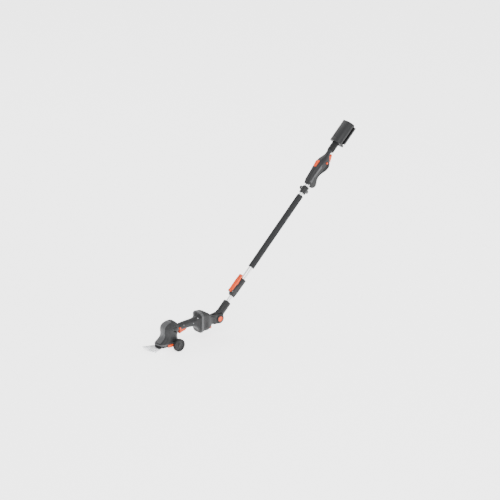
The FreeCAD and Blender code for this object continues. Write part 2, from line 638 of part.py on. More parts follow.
# ------------------------------------------------------------------ tilt hinge
def make_hinge():
    fork = cross_pad("fork", [
        ("adapter_end", "hinge_z - 21"), ("hinge_x", "hinge_z - hinge_radius + 1"),
        ("hinge_x", "hinge_z + hinge_radius - 1"), ("adapter_end", "hinge_z + 21")],
        "2 * hinge_half")
    barrel = sketch_on(fork, "XZ_Plane")
    draw_circle(barrel, "hinge_x", "hinge_z", "hinge_radius")
    pad(fork, barrel, "2 * hinge_half", both_ways=True)
    slot = sketch_on(fork, "XY_Plane", "hinge_z - 2 * hinge_radius")
    draw_outline(slot, [
        ("hinge_x - hinge_radius - 1.5", "-fork_half_slot"), ("hinge_x + 60", "-fork_half_slot"),
        ("hinge_x + 60", "fork_half_slot"), ("hinge_x - hinge_radius - 1.5", "fork_half_slot")])
    pocket(fork, slot, "4 * hinge_radius", backwards=True)
    cut_round(fork, "XZ_Plane", "hinge_x", "hinge_z", "hinge_button_radius + fit_gap",
              "fork_half_slot - 1", "hinge_half", backwards=True)
    cut_round(fork, "XZ_Plane", "hinge_x", "hinge_z", "hinge_bolt_radius",
              "-fork_half_slot + 1", "hinge_half")
    part("hinge_fork", put(fork))
    bolt = turned("hinge_bolt_body", [
        ("0", "9"), ("hinge_bolt_radius", "9"), ("hinge_bolt_radius", "hinge_half"),
        ("hinge_button_radius", "hinge_half"), ("hinge_button_radius - 2", "hinge_half + 2.5"),
        ("0", "hinge_half + 2.5")])
    part("hinge_bolt", put_across(bolt, "hinge_x", "0", "hinge_z"))
    button = turned("button", [
        ("0", "fork_half_slot - 0.5"), ("8", "fork_half_slot - 0.5"),
        ("8", "hinge_half - 5"), ("hinge_button_radius", "hinge_half - 5"),
        ("hinge_button_radius", "hinge_button_proud - 1.5"),
        ("hinge_button_radius - 1.5", "hinge_button_proud"),
        ("hinge_button_radius - 5", "hinge_button_proud"), ("8", "hinge_button_proud - 2"),
        ("0", "hinge_button_proud - 2.5")])
    part("hinge_button", put_across(button, "hinge_x", "0", "hinge_z", -1))
    lock = turned("lockring", [
        ("0", "fork_half_slot - 0.5"), ("0", "fork_half_slot - 3.5"),
        ("9", "fork_half_slot - 3.5"), ("9", "fork_half_slot - 0.5 - lock_ring_depth"),
        ("lock_ring_radius", "fork_half_slot - 0.5 - lock_ring_depth"),
        ("lock_ring_radius", "fork_half_slot - 0.5")])
    part("hinge_lock_ring", put_across(lock, "hinge_x", "0", "hinge_z", -1))
    coil = new_body("coil")
    wire = sketch_on(coil, "XZ_Plane")
    draw_circle(wire, "spring_radius", "0", "spring_wire")
    helix = coil.newObject("PartDesign::AdditiveHelix", "coil_helix")
    helix.Profile = wire
    helix.ReferenceAxis = (wire, ["V_Axis"])
    helix.Mode = 1
    bind(helix, "Pitch", "spring_pitch")
    bind(helix, "Turns", "spring_turns")
    refresh(coil)
    part("hinge_spring", put_across(coil, "hinge_x", "-3", "hinge_z"))


def make_knuckle():
    half = "fork_half_slot - fit_gap"
    knuckle = cross_pad("knuckle", [
        ("-knuckle_radius + 5", "0"), ("knuckle_radius - 5", "0"),
        ("knuckle_radius - 5", "socket_start + 3"), ("-knuckle_radius + 5", "socket_start + 3")],
        "2 * (%s)" % half)
    barrel = sketch_on(knuckle, "XZ_Plane")
    draw_circle(barrel, "pole_offset", "0", "knuckle_radius")
    pad(knuckle, barrel, "2 * (%s)" % half, both_ways=True)
    socket = sketch_on(knuckle, "XZ_Plane")
    draw_outline(socket, [
        ("0", "socket_start"), ("socket_radius - 3", "socket_start"),
        ("socket_radius", "socket_start + 3"), ("socket_radius", "socket_start + 8"),
        ("socket_radius - 1.5", "socket_start + 9.5"), ("socket_radius", "socket_start + 11"),
        ("socket_radius", "socket_end - 5"), ("socket_radius - 1.5", "socket_end - 1.5"),
        ("socket_radius - 5", "socket_end"), ("0", "socket_end")])
    turn = knuckle.newObject("PartDesign::Revolution", "socket_turn")
    turn.Profile = socket
    turn.ReferenceAxis = (socket, ["V_Axis"])
    turn.Angle = 360
    refresh(knuckle)
    # the lock ring's pocket from the left, the spring's bore behind it, then the bolt's hole
    cut_round(knuckle, "XZ_Plane", "pole_offset", "0", "lock_ring_radius + fit_gap",
              "0", "30", backwards=True)
    cut_round(knuckle, "XZ_Plane", "pole_offset", "0", "9", "-8.5", "10", backwards=True)
    cut_round(knuckle, "XZ_Plane", "pole_offset", "0", "hinge_bolt_radius + running_gap",
              "-30", "40", backwards=True)
    cut_round(knuckle, "XY_Plane", "0", "0", "inner_tube_radius", "tube_seat", "200",
              backwards=True)
    part("pole_knuckle", put_on_pole(knuckle))


# ------------------------------------------------------------------ telescopic pole
def make_pole():
    part("inner_tube", put_on_pole(ring(
        "inner", "inner_tube_radius", "inner_tube_radius - tube_wall", "tube_seat",
        "inner_tube_end")))
    part("tube_guide", put_on_pole(ring(
        "guide", "outer_tube_radius - tube_wall - fit_gap", "inner_tube_radius - tube_wall - 2",
        "inner_tube_end", "inner_tube_end + guide_length")))
    part("outer_tube", put_on_pole(ring(
        "outer", "outer_tube_radius", "outer_tube_radius - tube_wall", "clamp_step",
        "outer_tube_end")))
    sections = [
        ("clamp_start", "-clamp_lower", "clamp_lower", "-clamp_lower", "clamp_lower",
         "clamp_lower - 1.5"),
        ("clamp_step", "-lever_pivot_out - 3", "clamp_lower + 1", "-clamp_lower - 1",
         "clamp_lower + 1", "clamp_lower - 2"),
        ("clamp_step + 40", "-lever_pivot_out - 1", "clamp_upper - 1", "-clamp_upper + 1",
         "clamp_upper - 1", "clamp_upper - 3"),
        ("clamp_end", "-clamp_upper", "clamp_upper", "-clamp_upper", "clamp_upper",
         "clamp_upper - 1.5")]
    body = put_on_pole(loft("clamp", "XY_Plane", sections))
    low_bore = disc("low_bore", "inner_tube_radius + fit_gap", "clamp_start - 5", "clamp_step")
    high_bore = disc("high_bore", "outer_tube_radius", "clamp_step", "clamp_end + 5")
    channel = box("channel", "-80", "-lever_pivot_out + 4.8", "-lever_half - fit_gap",
                  "lever_half + fit_gap", "lever_pivot - 9", "clamp_end + 20", on_pole=True)
    pin_hole = new_body("pin_hole")
    sketch = sketch_on(pin_hole, "XZ_Plane")
    draw_circle(sketch, "-lever_pivot_out", "lever_pivot", "2")
    pad(pin_hole, sketch, "30", both_ways=True)
    put_on_pole(pin_hole)
    part("clamp_body", cut(body, put_on_pole(low_bore), put_on_pole(high_bore), channel,
                           pin_hole))
    part("clamp_pin", pin_hole)
    lever = cross_pad("lever", [
        ("-lever_out", "lever_pivot"), ("-lever_pivot_out + 4.4", "lever_pivot"),
        ("-lever_pivot_out + 4.4", "lever_end - 46"), ("-lever_out + 6", "lever_end"),
        ("-lever_out + 2.5", "lever_end"), ("-lever_out", "lever_end - 40")],
        "2 * lever_half")
    eye = sketch_on(lever, "XZ_Plane")
    draw_circle(eye, "-lever_pivot_out", "lever_pivot", "4.4")
    pad(lever, eye, "2 * lever_half", both_ways=True)
    cut_round(lever, "XZ_Plane", "-lever_pivot_out", "lever_pivot", "2 + running_gap", "0",
              "100", both_ways=True)
    part("clamp_lever", put_on_pole(lever))
    part("foam_grip", put_on_pole(turned("foam", [
        ("outer_tube_radius", "foam_start"), ("foam_radius - 2", "foam_start"),
        ("foam_radius", "foam_start + 2"), ("foam_radius", "foam_end - 2"),
        ("foam_radius - 2", "foam_end"), ("outer_tube_radius", "foam_end")])))
    collar = ring("collar", "collar_radius", "outer_tube_radius", "collar_start", "collar_end")
    ear = sketch_on(collar, "XZ_Plane")
    middle = "(collar_start + collar_end) / 2"
    draw_outline(ear, [("-eye_out", middle + " - eye_rim_radius"),
                       ("-outer_tube_radius - 2", middle + " - eye_rim_radius - 4"),
                       ("-outer_tube_radius - 2", middle + " + eye_rim_radius + 4"),
                       ("-eye_out", middle + " + eye_rim_radius")])
    pad(collar, ear, "2 * eye_half", both_ways=True)
    nose = sketch_on(collar, "XZ_Plane")
    draw_circle(nose, "-eye_out", middle, "eye_rim_radius")
    pad(collar, nose, "2 * eye_half", both_ways=True)
    cut_round(collar, "XZ_Plane", "-eye_out", middle, "eye_radius", "0", "60", both_ways=True)
    lobe = sketch_on(collar, "XZ_Plane")
    draw_outline(lobe, [("outer_tube_radius + 2", middle + " - 9"),
                        ("collar_radius + 8", middle + " - 7"),
                        ("collar_radius + 8", middle + " + 7"),
                        ("outer_tube_radius + 2", middle + " + 9")])
    pad(collar, lobe, "18", both_ways=True)
    cut_round(collar, "XZ_Plane", "collar_radius + 2", middle, "2.5", "0", "60", both_ways=True)
    part("strap_collar", put_on_pole(collar))
    screw = new_body("screw")
    sketch = sketch_on(screw, "XZ_Plane")
    draw_circle(sketch, "collar_radius + 2", middle, "2.5")
    pad(screw, sketch, "18", both_ways=True)
    part("collar_screw", put_on_pole(screw))


# ------------------------------------------------------------------ control handle
GRIP_START = "main_pivot + 22"


def make_control():
    sections = [
        ("control_start", "-mouth_out", "mouth_under", "-mouth_half", "mouth_half", "15"),
        ("control_mid", "-mid_out", "mid_under", "-belly_half + 1", "belly_half - 1", "18"),
        ("control_belly", "-belly_out", "belly_under - 2", "-belly_half", "belly_half", "19"),
        ("control_corner", "-belly_out + 5", "belly_under", "-belly_half", "belly_half", "18"),
        ("control_neck", "-grip_out", "grip_under + 6", "-grip_half - 3", "grip_half + 3", "14"),
        (GRIP_START, "-grip_out", "grip_under", "-grip_half", "grip_half", "13")]
    outer = put_on_pole(loft("control_outer", "XY_Plane", sections))
    inner = put_on_pole(loft("control_inner", "XY_Plane",
                             inset(sections, "control_start + 14", GRIP_START + " + 1")))
    tube_hole = put_on_pole(disc("tube_hole", "outer_tube_radius", "control_start - 5",
                                 "control_start + 30"))
    notch = new_body("notch")
    sketch = sketch_on(notch, "XZ_Plane")
    draw_circle(sketch, "2", "control_start - notch_radius / 2", "notch_radius")
    pad(notch, sketch, "100", both_ways=True)
    put_on_pole(notch)
    thumb_room = box("thumb_room", "-80", "-thumb_proud + 24", "-thumb_half - 0.4", "thumb_half + 0.4",
                     "thumb_start - 0.4", "thumb_end + 0.4", on_pole=True)
    trigger_room = box("trigger_room", "3", "100", "-8", "8", "control_neck - 12",
                       "main_pivot + 20", on_pole=True)
    lock_room = new_body("lock_room")
    sketch = sketch_on(lock_room, "XZ_Plane")
    draw_circle(sketch, "side_lock_under", "side_lock_at", "side_lock_radius + fit_gap")
    pad(lock_room, sketch, "100", both_ways=True)
    put_on_pole(lock_room)
    halves("control_shell", cut(outer, inner, tube_hole, notch, thumb_room, trigger_room,
                                lock_room))
    # the handle's core runs on from the housing, with the soft sleeve round it
    layers = (("grip_spine", "grip_cover", "grip_cover + 3"), ("handle_grip", "0", "grip_cover"))
    for name, outside, inside in layers:
        layer = new_body(name + "_body")
        sketch = sketch_on(layer, "XY_Plane", GRIP_START)
        for step in (outside, inside):
            draw_rounded(sketch, "-grip_out + " + step, "grip_under - (%s)" % step,
                         "-grip_half + " + step, "grip_half - (%s)" % step, "13 - (%s)" % step)
        pad(layer, sketch, "control_end - (%s)" % GRIP_START)
        part(name, put_on_pole(layer))
    thumb = new_body("thumb")
    sketch = sketch_on(thumb, "XZ_Plane")
    draw_outline(sketch, [
        ("-thumb_proud + 6", "thumb_start"), ("-thumb_proud + 12 + 8", "thumb_start"),
        ("-thumb_proud + 12 + 8", "thumb_end"), ("-thumb_proud + 5", "thumb_end"),
        ("-thumb_proud", "thumb_end - 8"), ("-thumb_proud + 2", "thumb_start + 12")])
    pad(thumb, sketch, "2 * thumb_half", both_ways=True)
    part("thumb_button", put_on_pole(thumb))
    side = new_body("side_lock")
    sketch = sketch_on(side, "XZ_Plane")
    draw_circle(sketch, "side_lock_under", "side_lock_at", "side_lock_radius")
    pad(side, sketch, "2 * side_lock_half", both_ways=True)
    part("side_lock_button", put_on_pole(side))
    trigger = new_body("main_trig")
    sketch = sketch_on(trigger, "XZ_Plane")
    draw_outline(sketch, [
        ("main_pivot_under - 3", "main_pivot + 4"), ("main_pivot_under - 3", "main_pivot - 20"),
        ("main_pivot_under + 9", "main_pivot - 26"), ("main_pivot_under + 25", "main_pivot - 22"),
        ("main_pivot_under + 18", "main_pivot - 8"), ("main_pivot_under + 12", "main_pivot + 6"),
        ("main_pivot_under + 5", "main_pivot + 12")])
    pad(trigger, sketch, "14", both_ways=True)
    pegs = sketch_on(trigger, "XZ_Plane")
    draw_circle(pegs, "main_pivot_under", "main_pivot", "2")
    pad(trigger, pegs, "2 * (grip_half - 4)", both_ways=True)
    part("main_trigger", put_on_pole(trigger))
    part("main_switch", box("main_switch_body", "-7.5", "-0.5", "-3.5", "3.5",
                            "main_pivot - 18", "main_pivot - 2", on_pole=True))


# ------------------------------------------------------------------ battery dock
def make_dock():
    cover = new_body("dock_top")
    sketch = sketch_on(cover, "XY_Plane", "dock_start")
    draw_outline(sketch, [
        ("0", "-dock_half"), ("-dock_crown / 3", "-dock_half"),
        ("-dock_crown + 7", "-dock_half + 8"), ("-dock_crown", "-dock_half + 20"),
        ("-dock_crown", "dock_half - 20"), ("-dock_crown + 7", "dock_half - 8"),
        ("-dock_crown / 3", "dock_half"), ("0", "dock_half")])
    pad(cover, sketch, "dock_end - dock_start")
    hollow = sketch_on(cover, "XY_Plane", "dock_start + 6")
    draw_outline(hollow, [
        ("1", "-dock_half + 5"), ("-dock_crown / 3", "-dock_half + 5"),
        ("-dock_crown + 9", "-dock_half + 13"), ("-dock_crown + 4", "-dock_half + 23"),
        ("-dock_crown + 4", "dock_half - 23"), ("-dock_crown + 9", "dock_half - 13"),
        ("-dock_crown / 3", "dock_half - 5"), ("1", "dock_half - 5")])
    pocket(cover, hollow, "dock_end - dock_start - 12", backwards=True)
    put_on_pole(cover)
    neck = box("dock_neck", "-40", "60", "-60", "60", "control_neck + 30", "control_end",
               on_pole=True)
    part("dock_cover", cut(cover, neck))
    core = new_body("dock_core")
    sketch = sketch_on(core, "XZ_Plane")
    draw_outline(sketch, [
        ("0", "control_end"), ("dock_under + 10", "control_end"),
        ("dock_under + 10", "control_end + 7"), ("dock_under", "control_end + 14"),
        ("dock_under", "dock_end - dock_corner"), ("dock_under - dock_corner", "dock_end"),
        ("0", "dock_end")])
    pad(core, sketch, "2 * dock_core_half", both_ways=True)
    contact_slot = sketch_on(core, "XZ_Plane")
    draw_outline(contact_slot, [
        ("5", "control_end + 40"), ("15", "control_end + 40"), ("15", "dock_end + 5"),
        ("5", "dock_end + 5")])
    pocket(core, contact_slot, "2 * dock_core_half - 12", both_ways=True)
    part("dock_core", put_on_pole(core))
    rails = []
    for side, low, high in (("left", "-dock_half", "-dock_core_half"),
                            ("right", "dock_core_half", "dock_half")):
        rails.append(box("rail_" + side, "dock_rail", "dock_under", low, high,
                         "control_end + 14", "dock_end - dock_corner", on_pole=True))
    pair = doc.addObject("Part::Compound", "rail_pair")
    pair.Links = rails
    part("dock_rails", pair)
    contacts = []
    for number in range(4):
        middle = "%s * 8" % (number - 1.5)
        contacts.append(box(
            "contact_%d" % number, "5", "13", "%s - contact_half" % middle,
            "%s + contact_half" % middle, "control_end + 40", "dock_end - 12", on_pole=True))
    group = doc.addObject("Part::Compound", "contact_group")
    group.Links = contacts
    part("dock_contacts", group)


def write_parts():
    """Check every object, then write one file for each piece."""
    doc.recompute()
    for item in doc.Objects:
        if "Invalid" in item.State or "Error" in item.State:
            raise ValueError("%s failed: %s" % (item.Label, item.State))
    for item in nodes:
        shape = item.Shape
        if shape.isNull() or not shape.isValid() or not shape.Solids:
            raise ValueError("%s has no sound shape" % item.Label)
    os.makedirs("parts", exist_ok=True)
    for item in nodes:
        item.Shape.exportStep("parts/%s.step" % item.Label)
        print(item.Label, len(item.Shape.Solids), round(item.Shape.Volume, 1))


make_wheels()
make_blades()
make_drive()
make_handle(make_head())
make_interface()
make_hinge()
make_knuckle()
make_pole()
make_control()
make_dock()
write_parts()
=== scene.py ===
import bpy
import json
import math
from mathutils import Euler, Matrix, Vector


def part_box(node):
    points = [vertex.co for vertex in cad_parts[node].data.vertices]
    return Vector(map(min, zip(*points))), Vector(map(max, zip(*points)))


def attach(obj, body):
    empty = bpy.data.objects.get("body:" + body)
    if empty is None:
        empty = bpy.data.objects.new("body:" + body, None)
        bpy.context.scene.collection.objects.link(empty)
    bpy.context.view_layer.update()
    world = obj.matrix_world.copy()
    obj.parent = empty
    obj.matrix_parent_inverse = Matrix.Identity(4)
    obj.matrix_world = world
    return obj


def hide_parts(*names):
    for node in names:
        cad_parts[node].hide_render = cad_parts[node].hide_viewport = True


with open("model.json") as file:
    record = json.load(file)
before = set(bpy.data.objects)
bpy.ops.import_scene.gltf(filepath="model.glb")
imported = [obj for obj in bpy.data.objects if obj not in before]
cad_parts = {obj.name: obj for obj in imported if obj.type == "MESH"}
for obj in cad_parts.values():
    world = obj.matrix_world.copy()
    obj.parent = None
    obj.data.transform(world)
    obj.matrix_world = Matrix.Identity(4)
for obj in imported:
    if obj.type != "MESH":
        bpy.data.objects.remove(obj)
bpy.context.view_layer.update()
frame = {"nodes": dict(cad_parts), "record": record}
record = frame["record"]
bodyOf = {node: body for body, members in record["behaviour"]["bodies"].items()
          for node in members}
slotOf = {part["node"]: part["material_slot"] for part in record["subparts"]}


# places on the tool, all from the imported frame
def boxMiddle(node):
    low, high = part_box(node)
    return (Vector(low) + Vector(high)) / 2


poleWay = Vector(record["mounts"][0]["axis"]).normalized()      # up the pole
poleUnder = Vector((poleWay.z, 0, -poleWay.x))                  # towards the underside
poleTurn = Euler((0, math.atan2(poleWay.x, poleWay.z), 0))
tubeMiddle = 0.4925                                             # from the pole's foot
poleFoot = boxMiddle("outer_tube") - poleWay * tubeMiddle
hingeMiddle = boxMiddle("hinge_button")
wheelX = boxMiddle("wheel_left").x
across = (math.pi / 2, 0, 0)                                    # stands a drum along Y
smoothAngle = math.radians(38)
bevelAngle = math.radians(32)
mergeGap = 0.00001                                              # joins a copied node's corners
flatAngle = math.radians(0.6)


def onPole(under, side, up):
    return poleFoot + poleUnder * under + Vector((0, side, 0)) + poleWay * up


# modelling helpers
def pickOnly(obj):
    bpy.ops.object.select_all(action="DESELECT")
    obj.select_set(True)
    bpy.context.view_layer.objects.active = obj


def settle(obj):
    pickOnly(obj)
    bpy.ops.object.transform_apply(location=True, rotation=True, scale=True)
    return obj


def editAll(obj):
    pickOnly(obj)
    bpy.ops.object.mode_set(mode="EDIT")
    bpy.ops.mesh.select_all(action="SELECT")


def leaveEdit():
    bpy.ops.object.mode_set(mode="OBJECT")


def block(name, place, size, turn=(0, 0, 0)):
    bpy.ops.object.select_all(action="DESELECT")
    bpy.ops.mesh.primitive_cube_add(size=1, location=place, rotation=turn)
    obj = bpy.context.object
    obj.name = name
    obj.scale = size
    return settle(obj)


def drum(name, place, radius, depth, turn=(0, 0, 0), sides=64):
    bpy.ops.object.select_all(action="DESELECT")
    bpy.ops.mesh.primitive_cylinder_add(vertices=sides, radius=radius, depth=depth,
                                        location=place, rotation=turn)
    obj = bpy.context.object
    obj.name = name
    return settle(obj)


def steppedDrum(name, place, radius, depth, turn, steps):
    # each step insets both flat faces, then moves them out or in
    sides = 96
    bpy.ops.object.select_all(action="DESELECT")
    bpy.ops.mesh.primitive_cylinder_add(vertices=sides, radius=radius, depth=depth)
    obj = bpy.context.object
    obj.name = name
    for way in (1, -1):
        bpy.ops.object.mode_set(mode="EDIT")
        bpy.ops.mesh.select_all(action="DESELECT")
        leaveEdit()
        for face in obj.data.polygons:
            face.select = face.normal.z * way > 0.9 and len(face.vertices) == sides
        bpy.ops.object.mode_set(mode="EDIT")
        bpy.ops.mesh.select_mode(type="FACE")
        for inward, outward in steps:
            bpy.ops.mesh.inset(thickness=inward, depth=0)
            if outward:
                bpy.ops.mesh.extrude_region_move(
                    TRANSFORM_OT_translate={"value": (0, 0, outward * way)})
        leaveEdit()
    obj.location = place
    obj.rotation_euler = turn
    return settle(obj)


def useModifier(obj, kind, **settings):
    pickOnly(obj)
    modifier = obj.modifiers.new(kind.title(), kind)
    for key, setting in settings.items():
        setattr(modifier, key, setting)
    bpy.ops.object.modifier_apply(modifier=modifier.name)


def carve(obj, cutter, operation="DIFFERENCE"):
    useModifier(obj, "BOOLEAN", object=cutter, operation=operation, solver="EXACT")
    bpy.data.objects.remove(cutter)
    return obj


def soften(obj, width, segments=3):
    # a width of 0 only smooths the shading
    if width:
        useModifier(obj, "BEVEL", width=width, segments=segments, limit_method="ANGLE",
                    angle_limit=bevelAngle, use_clamp_overlap=True)
    pickOnly(obj)
    bpy.ops.object.shade_smooth_by_angle(angle=smoothAngle)
    return obj


def copyOf(node, name):
    obj = bpy.data.objects.new(name, frame["nodes"][node].data.copy())
    bpy.context.collection.objects.link(obj)
    editAll(obj)
    bpy.ops.mesh.remove_doubles(threshold=mergeGap)
    bpy.ops.mesh.dissolve_limited(angle_limit=flatAngle)
    leaveEdit()
    return obj


def finishPiece(obj, body, look, *nodes):
    obj.data.materials.clear()
    obj.data.materials.append(looks[look])
    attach(obj, body)
    if nodes:
        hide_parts(*nodes)
    return obj


# shader node groups
def newGroup(name, inputs, outputs):
    group = bpy.data.node_groups.new(name, "ShaderNodeTree")
    for label, kind, value in inputs:
        socket = group.interface.new_socket(name=label, in_out="INPUT", socket_type=kind)
        if value is not None:
            socket.default_value = value
    for label, kind in outputs:
        group.interface.new_socket(name=label, in_out="OUTPUT", socket_type=kind)
    return group, group.nodes.new("NodeGroupInput"), group.nodes.new("NodeGroupOutput")


def feed(tree, socket, source):
    # links another node's output, or sets a plain value
    if hasattr(source, "is_output"):
        tree.links.new(source, socket)
    else:
        socket.default_value = source


def addNode(tree, kind, links=(), **settings):
    node = tree.nodes.new(kind)
    for key, setting in settings.items():
        setattr(node, key, setting)
    for socket, source in links:
        feed(tree, node.inputs[socket], source)
    return node


def buildGrainGroup():
    group, start, end = newGroup("mouldGrain", [
        ("Place", "NodeSocketVector", None), ("Grain Scale", "NodeSocketFloat", 900.0),
        ("Patch Scale", "NodeSocketFloat", 25.0)],
        [("Grain", "NodeSocketFloat"), ("Patches", "NodeSocketFloat")])
    fine = addNode(group, "ShaderNodeTexNoise", [("Vector", start.outputs["Place"]),
                   ("Scale", start.outputs["Grain Scale"]), ("Detail", 2.0), ("Roughness", 0.6)])
    cells = addNode(group, "ShaderNodeTexVoronoi", [("Vector", start.outputs["Place"]),
                    ("Scale", start.outputs["Grain Scale"])])
    mixed = addNode(group, "ShaderNodeMath", [(0, fine.outputs["Fac"]),
                    (1, cells.outputs["Distance"])], operation="ADD")
    halved = addNode(group, "ShaderNodeMath", [(0, mixed.outputs[0]), (1, 0.5)],
                     operation="MULTIPLY")
    patches = addNode(group, "ShaderNodeTexNoise", [("Vector", start.outputs["Place"]),
                      ("Scale", start.outputs["Patch Scale"]), ("Detail", 4.0),
                      ("Roughness", 0.55)])
    group.links.new(halved.outputs[0], end.inputs["Grain"])
    group.links.new(patches.outputs["Fac"], end.inputs["Patches"])
    return group


def buildWearGroup():
    group, start, end = newGroup("edgeWear", [
        ("Place", "NodeSocketVector", None), ("Reach", "NodeSocketFloat", 0.0012),
        ("Breakup", "NodeSocketFloat", 160.0)], [("Wear", "NodeSocketFloat")])
    bevel = addNode(group, "ShaderNodeBevel", [("Radius", start.outputs["Reach"])], samples=4)
    shape = addNode(group, "ShaderNodeNewGeometry")
    turned = addNode(group, "ShaderNodeVectorMath", [(0, bevel.outputs["Normal"]),
                     (1, shape.outputs["Normal"])], operation="DOT_PRODUCT")
    edge = addNode(group, "ShaderNodeMapRange", [("Value", turned.outputs["Value"]),
                   ("From Min", 0.995), ("From Max", 0.90), ("To Min", 0.0), ("To Max", 1.0)])
    broken = addNode(group, "ShaderNodeTexNoise", [("Vector", start.outputs["Place"]),
                     ("Scale", start.outputs["Breakup"]), ("Detail", 5.0)])
    patch = addNode(group, "ShaderNodeMapRange", [("Value", broken.outputs["Fac"]),
                    ("From Min", 0.42), ("From Max", 0.62), ("To Min", 0.0), ("To Max", 1.0)])
    wear = addNode(group, "ShaderNodeMath", [(0, edge.outputs["Result"]),
                   (1, patch.outputs["Result"])], operation="MULTIPLY")
    group.links.new(wear.outputs[0], end.inputs["Wear"])
    return group


def buildBrushGroup():
    group, start, end = newGroup("brushedLines", [
        ("Place", "NodeSocketVector", None), ("Line Scale", "NodeSocketFloat", 500.0)],
        [("Lines", "NodeSocketFloat"), ("Cloud", "NodeSocketFloat")])
    lines = addNode(group, "ShaderNodeTexNoise", [("Vector", start.outputs["Place"]),
                    ("Scale", start.outputs["Line Scale"]), ("Detail", 3.0)])
    cloud = addNode(group, "ShaderNodeTexNoise", [("Vector", start.outputs["Place"]),
                    ("Scale", 18.0), ("Detail", 3.0)])
    group.links.new(lines.outputs["Fac"], end.inputs["Lines"])
    group.links.new(cloud.outputs["Fac"], end.inputs["Cloud"])
    return group


grainGroup = buildGrainGroup()
wearGroup = buildWearGroup()
brushGroup = buildBrushGroup()


def placeGroup(tree, group, links):
    node = tree.nodes.new("ShaderNodeGroup")
    node.node_tree = group
    for socket, source in links:
        feed(tree, node.inputs[socket], source)
    return node


def mixColours(tree, amount, first, second):
    node = tree.nodes.new("ShaderNodeMix")
    node.data_type = "RGBA"
    for number, source in ((0, amount), (6, first), (7, second)):
        feed(tree, node.inputs[number], source)
    return node.outputs[2]


def newLook(name):
    look = bpy.data.materials.new(name)
    look.use_nodes = True
    tree = look.node_tree
    shader = tree.nodes["Principled BSDF"]
    place = tree.nodes.new("ShaderNodeTexCoord").outputs["Object"]
    return look, tree, shader, place


def spread(tree, source, low, high):
    node = addNode(tree, "ShaderNodeMapRange", [("Value", source), ("From Min", 0.3),
                   ("From Max", 0.7), ("To Min", low), ("To Max", high)])
    return node.outputs["Result"]


def mouldedLook(name, settings):
    look, tree, shader, place = newLook(name)
    grain = placeGroup(tree, grainGroup, [("Place", place), ("Grain Scale", settings["grain"]),
                                          ("Patch Scale", settings["patch"])])
    wear = placeGroup(tree, wearGroup, [("Place", place), ("Reach", settings["reach"])])
    base = mixColours(tree, grain.outputs["Patches"], settings["dark"], settings["light"])
    worn = mixColours(tree, wear.outputs["Wear"], base, settings["worn"])
    tree.links.new(worn, shader.inputs["Base Color"])
    low, high = settings["roughness"]
    tree.links.new(spread(tree, grain.outputs["Patches"], low, high), shader.inputs["Roughness"])
    bump = addNode(tree, "ShaderNodeBump", [("Height", grain.outputs["Grain"]),
                   ("Strength", settings["bump"]), ("Distance", settings["depth"])])
    tree.links.new(bump.outputs["Normal"], shader.inputs["Normal"])
    shader.inputs["Specular IOR Level"].default_value = settings.get("gloss", 0.28)
    return look


def brushedLook(name, settings):
    look, tree, shader, place = newLook(name)
    turned = addNode(tree, "ShaderNodeMapping", [("Vector", place),
                     ("Rotation", settings["turn"]), ("Scale", settings["stretch"])],
                     vector_type="TEXTURE")
    brush = placeGroup(tree, brushGroup, [("Place", turned.outputs["Vector"]),
                                          ("Line Scale", settings["lines"])])
    colour = mixColours(tree, brush.outputs["Lines"], settings["dark"], settings["light"])
    tree.links.new(colour, shader.inputs["Base Color"])
    low, high = settings["roughness"]
    tree.links.new(spread(tree, brush.outputs["Cloud"], low, high), shader.inputs["Roughness"])
    shader.inputs["Metallic"].default_value = settings["metal"]
    bump = addNode(tree, "ShaderNodeBump", [("Height", brush.outputs["Lines"]),
                   ("Strength", settings["bump"]), ("Distance", 0.00005)])
    tree.links.new(bump.outputs["Normal"], shader.inputs["Normal"])
    return look


mouldedSettings = {
    "charcoalPlastic": {"dark": (0.011, 0.0113, 0.012, 1), "light": (0.0175, 0.018, 0.019, 1),
                        "worn": (0.085, 0.085, 0.088, 1), "roughness": (0.42, 0.56),
                        "grain": 1500.0, "patch": 22.0, "reach": 0.0012, "bump": 0.22,
                        "depth": 0.0002},
    "greyPlastic": {"dark": (0.052, 0.053, 0.055, 1), "light": (0.072, 0.073, 0.076, 1),
                    "worn": (0.15, 0.15, 0.155, 1), "roughness": (0.38, 0.5), "grain": 1300.0,
                    "patch": 20.0, "reach": 0.001, "bump": 0.16, "depth": 0.0002},
    "orangePlastic": {"dark": (0.60, 0.045, 0.001, 1), "light": (0.70, 0.065, 0.002, 1),
                      "worn": (0.74, 0.14, 0.04, 1), "roughness": (0.3, 0.42),
                      "grain": 1400.0, "patch": 45.0, "reach": 0.0008, "bump": 0.1,
                      "depth": 0.00015},
    "softGrip": {"dark": (0.005, 0.0052, 0.0055, 1), "light": (0.009, 0.0092, 0.0097, 1),
                 "worn": (0.03, 0.07, 0.073, 1), "roughness": (0.68, 0.85), "grain": 700.0,
                 "patch": 30.0, "reach": 0.001, "bump": 0.5, "depth": 0.0004, "gloss": 0.3},
    "foamGrip": {"dark": (0.017, 0.0175, 0.0185, 1), "light": (0.026, 0.0265, 0.028, 1),
                 "worn": (0.05, 0.09, 0.093, 1), "roughness": (0.82, 0.95), "grain": 480.0,
                 "patch": 12.0, "reach": 0.001, "bump": 0.75, "depth": 0.0006, "gloss": 0.2},
    "tyreRubber": {"dark": (0.008, 0.008, 0.0085, 1), "light": (0.013, 0.013, 0.014, 1),
                   "worn": (0.045, 0.043, 0.04, 1), "roughness": (0.7, 0.9), "grain": 600.0,
                   "patch": 60.0, "reach": 0.0015, "bump": 0.35, "depth": 0.0003, "gloss": 0.3},
    "switchBlack": {"dark": (0.012, 0.012, 0.013, 1), "light": (0.02, 0.02, 0.021, 1),
                    "worn": (0.05, 0.05, 0.05, 1), "roughness": (0.35, 0.5), "grain": 1200.0,
                    "patch": 40.0, "reach": 0.0006, "bump": 0.1, "depth": 0.0001},
}
